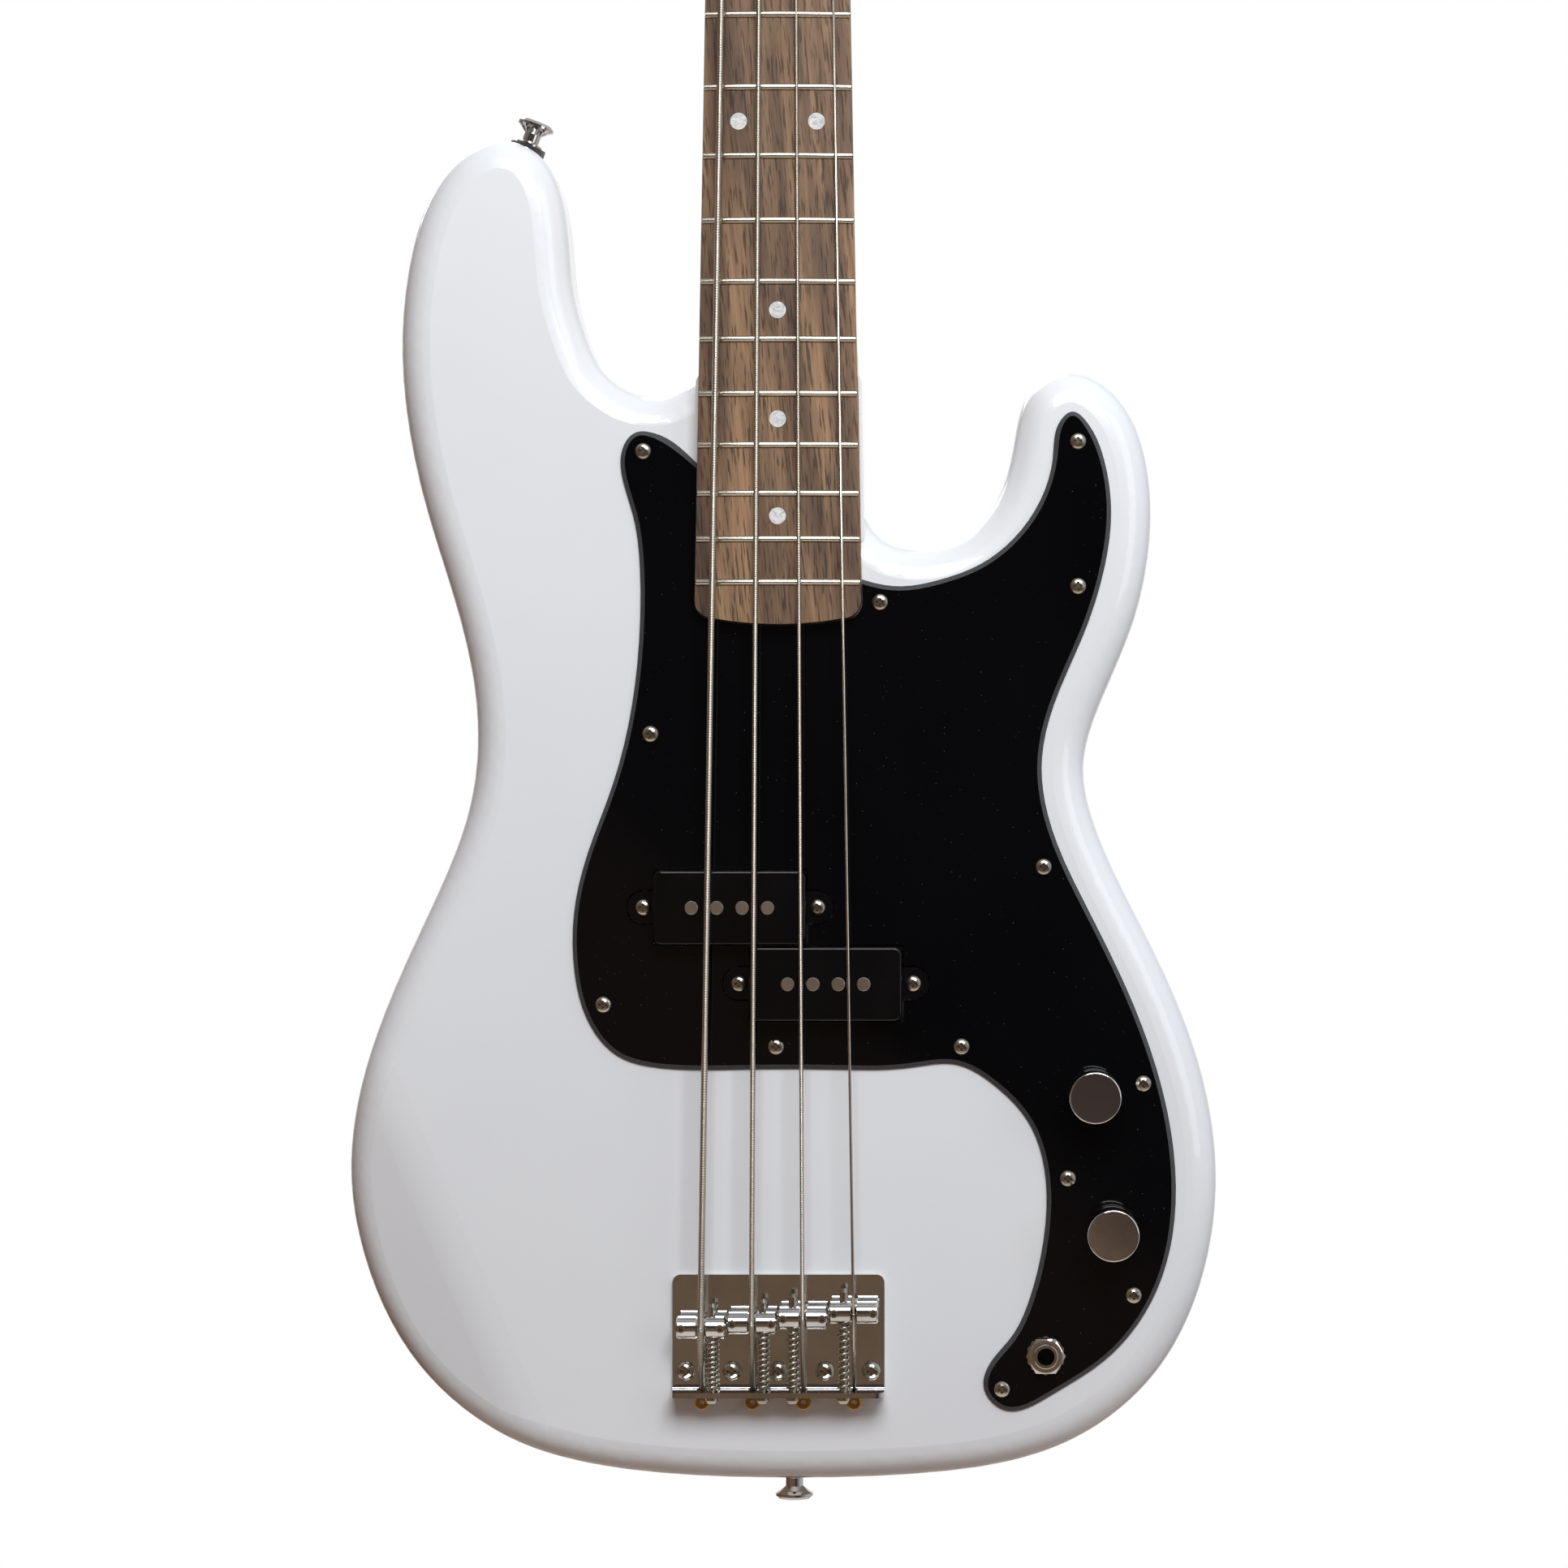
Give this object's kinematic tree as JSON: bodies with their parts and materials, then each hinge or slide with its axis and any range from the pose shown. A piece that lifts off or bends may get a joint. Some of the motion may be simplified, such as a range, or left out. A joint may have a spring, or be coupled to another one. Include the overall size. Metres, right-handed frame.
{
  "type": "electric bass guitar",
  "caption": "Solid-body electric bass guitar with a split pickup, a barrel-saddle bridge, turning knobs and worm-gear tuners, strung over a fretted neck.",
  "frame": {"origin": "on the neck's centre line at the nut line, in the plane of the body's front face", "axes": "+X to the treble side, +Y from front to back, +Z along the neck towards the headstock"},
  "size_m": [0.3292, 0.0675, 1.1452],
  "materials": {
    "body_paint": "gloss",
    "maple": "satin",
    "dark_wood": "satin",
    "black_gloss": "gloss",
    "black_plastic": "satin",
    "chrome": "polished",
    "nickel": "polished",
    "string_steel": "wound",
    "brass": "satin",
    "copper_coil": "satin",
    "pearl": "gloss",
    "bone": "satin",
    "foam": "matte",
    "felt": "matte",
    "wire": "matte",
    "capacitor": "gloss"
  },
  "bodies": {
    "guitar": {"body": "body_paint", "pickguard": "black_gloss", "pickguard_screws": "nickel", "pickup_foam": "foam", "bridge_plate": "chrome", "bridge_screws": "nickel", "intonation_springs": "nickel", "ball_ends": "brass", "potentiometers": "nickel", "control_nuts": "chrome", "output_jack": "nickel", "jack_nut": "chrome", "wiring": "wire", "capacitor": "capacitor", "strap_buttons": "chrome", "strap_felt": "felt", "position_dots": "pearl", "fingerboard": "dark_wood", "frets": "nickel", "nut": "bone", "neck": "maple", "truss_rod": "nickel", "neck_plate": "chrome", "neck_screws": "chrome", "tuner_plates": "chrome", "tuner_bushings": "chrome", "tuner_screws": "chrome", "string_tree": "chrome", "string_e": "string_steel", "string_a": "string_steel", "string_d": "string_steel", "string_g": "string_steel"},
    "pickup_bass": {"pickup_cover_bass": "black_plastic", "pickup_poles_bass": "nickel", "pickup_coil_bass": "copper_coil", "pickup_screws_bass": "nickel"},
    "pickup_treble": {"pickup_cover_treble": "black_plastic", "pickup_poles_treble": "nickel", "pickup_coil_treble": "copper_coil", "pickup_screws_treble": "nickel"},
    "knob_volume": {"knob_volume": "chrome"},
    "knob_tone": {"knob_tone": "chrome"},
    "tuner_key_e": {"tuner_key_e": "chrome"},
    "tuner_post_e": {"tuner_post_e": "chrome"},
    "intonation_screw_e": {"intonation_screw_e": "nickel"},
    "saddle_e": {"saddle_e": "chrome"},
    "tuner_key_a": {"tuner_key_a": "chrome"},
    "tuner_post_a": {"tuner_post_a": "chrome"},
    "intonation_screw_a": {"intonation_screw_a": "nickel"},
    "saddle_a": {"saddle_a": "chrome"},
    "tuner_key_d": {"tuner_key_d": "chrome"},
    "tuner_post_d": {"tuner_post_d": "chrome"},
    "intonation_screw_d": {"intonation_screw_d": "nickel"},
    "saddle_d": {"saddle_d": "chrome"},
    "tuner_key_g": {"tuner_key_g": "chrome"},
    "tuner_post_g": {"tuner_post_g": "chrome"},
    "intonation_screw_g": {"intonation_screw_g": "nickel"},
    "saddle_g": {"saddle_g": "chrome"}
  },
  "joints": [
    {"name": "volume_turn", "type": "hinge", "parent": "guitar", "child": "knob_volume", "pos_m": [0.1188, 0, -0.7843], "axis": [0, 1, 0], "range_deg": [-150, 150]},
    {"name": "tone_turn", "type": "hinge", "parent": "guitar", "child": "knob_tone", "pos_m": [0.1255, 0, -0.8356], "axis": [0, 1, 0], "range_deg": [-150, 150]},
    {"name": "key_turn_e", "type": "hinge", "parent": "guitar", "child": "tuner_key_e", "pos_m": [-0.0234, 0.0233, 0.03938], "axis": [-0.9781, 0, 0.2079], "continuous": true},
    {"name": "post_turn_e", "type": "hinge", "parent": "guitar", "child": "tuner_post_e", "pos_m": [-0.0207, 0.0026, 0.0521], "axis": [0, 1, 0], "continuous": true, "deforming": ["string_e"]},
    {"name": "key_turn_a", "type": "hinge", "parent": "guitar", "child": "tuner_key_a", "pos_m": [-0.01343, 0.0233, 0.08132], "axis": [-0.9781, 0, 0.2079], "continuous": true},
    {"name": "post_turn_a", "type": "hinge", "parent": "guitar", "child": "tuner_post_a", "pos_m": [-0.01073, 0.0026, 0.09403], "axis": [0, 1, 0], "continuous": true, "deforming": ["string_a"]},
    {"name": "key_turn_d", "type": "hinge", "parent": "guitar", "child": "tuner_key_d", "pos_m": [-0.00437, 0.0233, 0.12325], "axis": [-0.9781, 0, 0.2079], "continuous": true},
    {"name": "post_turn_d", "type": "hinge", "parent": "guitar", "child": "tuner_post_d", "pos_m": [-0.00166, 0.0026, 0.13597], "axis": [0, 1, 0], "continuous": true, "deforming": ["string_d"]},
    {"name": "key_turn_g", "type": "hinge", "parent": "guitar", "child": "tuner_key_g", "pos_m": [0.00384, 0.0233, 0.1652], "axis": [-0.9781, 0, 0.2079], "continuous": true},
    {"name": "post_turn_g", "type": "hinge", "parent": "guitar", "child": "tuner_post_g", "pos_m": [0.00655, 0.0026, 0.17791], "axis": [0, 1, 0], "continuous": true, "deforming": ["string_g"]},
    {"name": "intonation_turn_e", "type": "hinge", "parent": "guitar", "child": "intonation_screw_e", "pos_m": [-0.02467, -0.0099, -0.8969], "axis": [0, 0, 1], "range_deg": [-1543, 1543]},
    {"name": "saddle_slide_e", "type": "slide", "parent": "guitar", "child": "saddle_e", "axis": [0, 0, 1], "range_m": [-0.003, 0.003], "deforming": ["intonation_springs", "string_e"]},
    {"name": "intonation_turn_a", "type": "hinge", "parent": "guitar", "child": "intonation_screw_a", "pos_m": [-0.00562, -0.0099, -0.8969], "axis": [0, 0, 1], "range_deg": [-1543, 1543]},
    {"name": "saddle_slide_a", "type": "slide", "parent": "guitar", "child": "saddle_a", "axis": [0, 0, 1], "range_m": [-0.003, 0.003], "deforming": ["intonation_springs", "string_a"]},
    {"name": "intonation_turn_d", "type": "hinge", "parent": "guitar", "child": "intonation_screw_d", "pos_m": [0.00562, -0.0099, -0.8969], "axis": [0, 0, 1], "range_deg": [-1543, 1543]},
    {"name": "saddle_slide_d", "type": "slide", "parent": "guitar", "child": "saddle_d", "axis": [0, 0, 1], "range_m": [-0.003, 0.003], "deforming": ["intonation_springs", "string_d"]},
    {"name": "intonation_turn_g", "type": "hinge", "parent": "guitar", "child": "intonation_screw_g", "pos_m": [0.02467, -0.0099, -0.8969], "axis": [0, 0, 1], "range_deg": [-1543, 1543]},
    {"name": "saddle_slide_g", "type": "slide", "parent": "guitar", "child": "saddle_g", "axis": [0, 0, 1], "range_m": [-0.003, 0.003], "deforming": ["intonation_springs", "string_g"]},
    {"name": "pickup_height_bass", "type": "slide", "parent": "guitar", "child": "pickup_bass", "axis": [0, -1, 0], "range_m": [-0.0012, 0.0012], "deforming": ["pickup_foam"]},
    {"name": "pickup_height_treble", "type": "slide", "parent": "guitar", "child": "pickup_treble", "axis": [0, -1, 0], "range_m": [-0.0012, 0.0012], "deforming": ["pickup_foam"]}
  ],
  "couplings": [
    {"joint": "post_turn_e", "follows": "key_turn_e", "ratio": -0.05},
    {"joint": "post_turn_a", "follows": "key_turn_a", "ratio": -0.05},
    {"joint": "post_turn_d", "follows": "key_turn_d", "ratio": -0.05},
    {"joint": "post_turn_g", "follows": "key_turn_g", "ratio": -0.05},
    {"joint": "intonation_turn_e", "follows": "saddle_slide_e", "rad_per_m": -8976},
    {"joint": "intonation_turn_a", "follows": "saddle_slide_a", "rad_per_m": -8976},
    {"joint": "intonation_turn_d", "follows": "saddle_slide_d", "rad_per_m": -8976},
    {"joint": "intonation_turn_g", "follows": "saddle_slide_g", "rad_per_m": -8976}
  ]
}
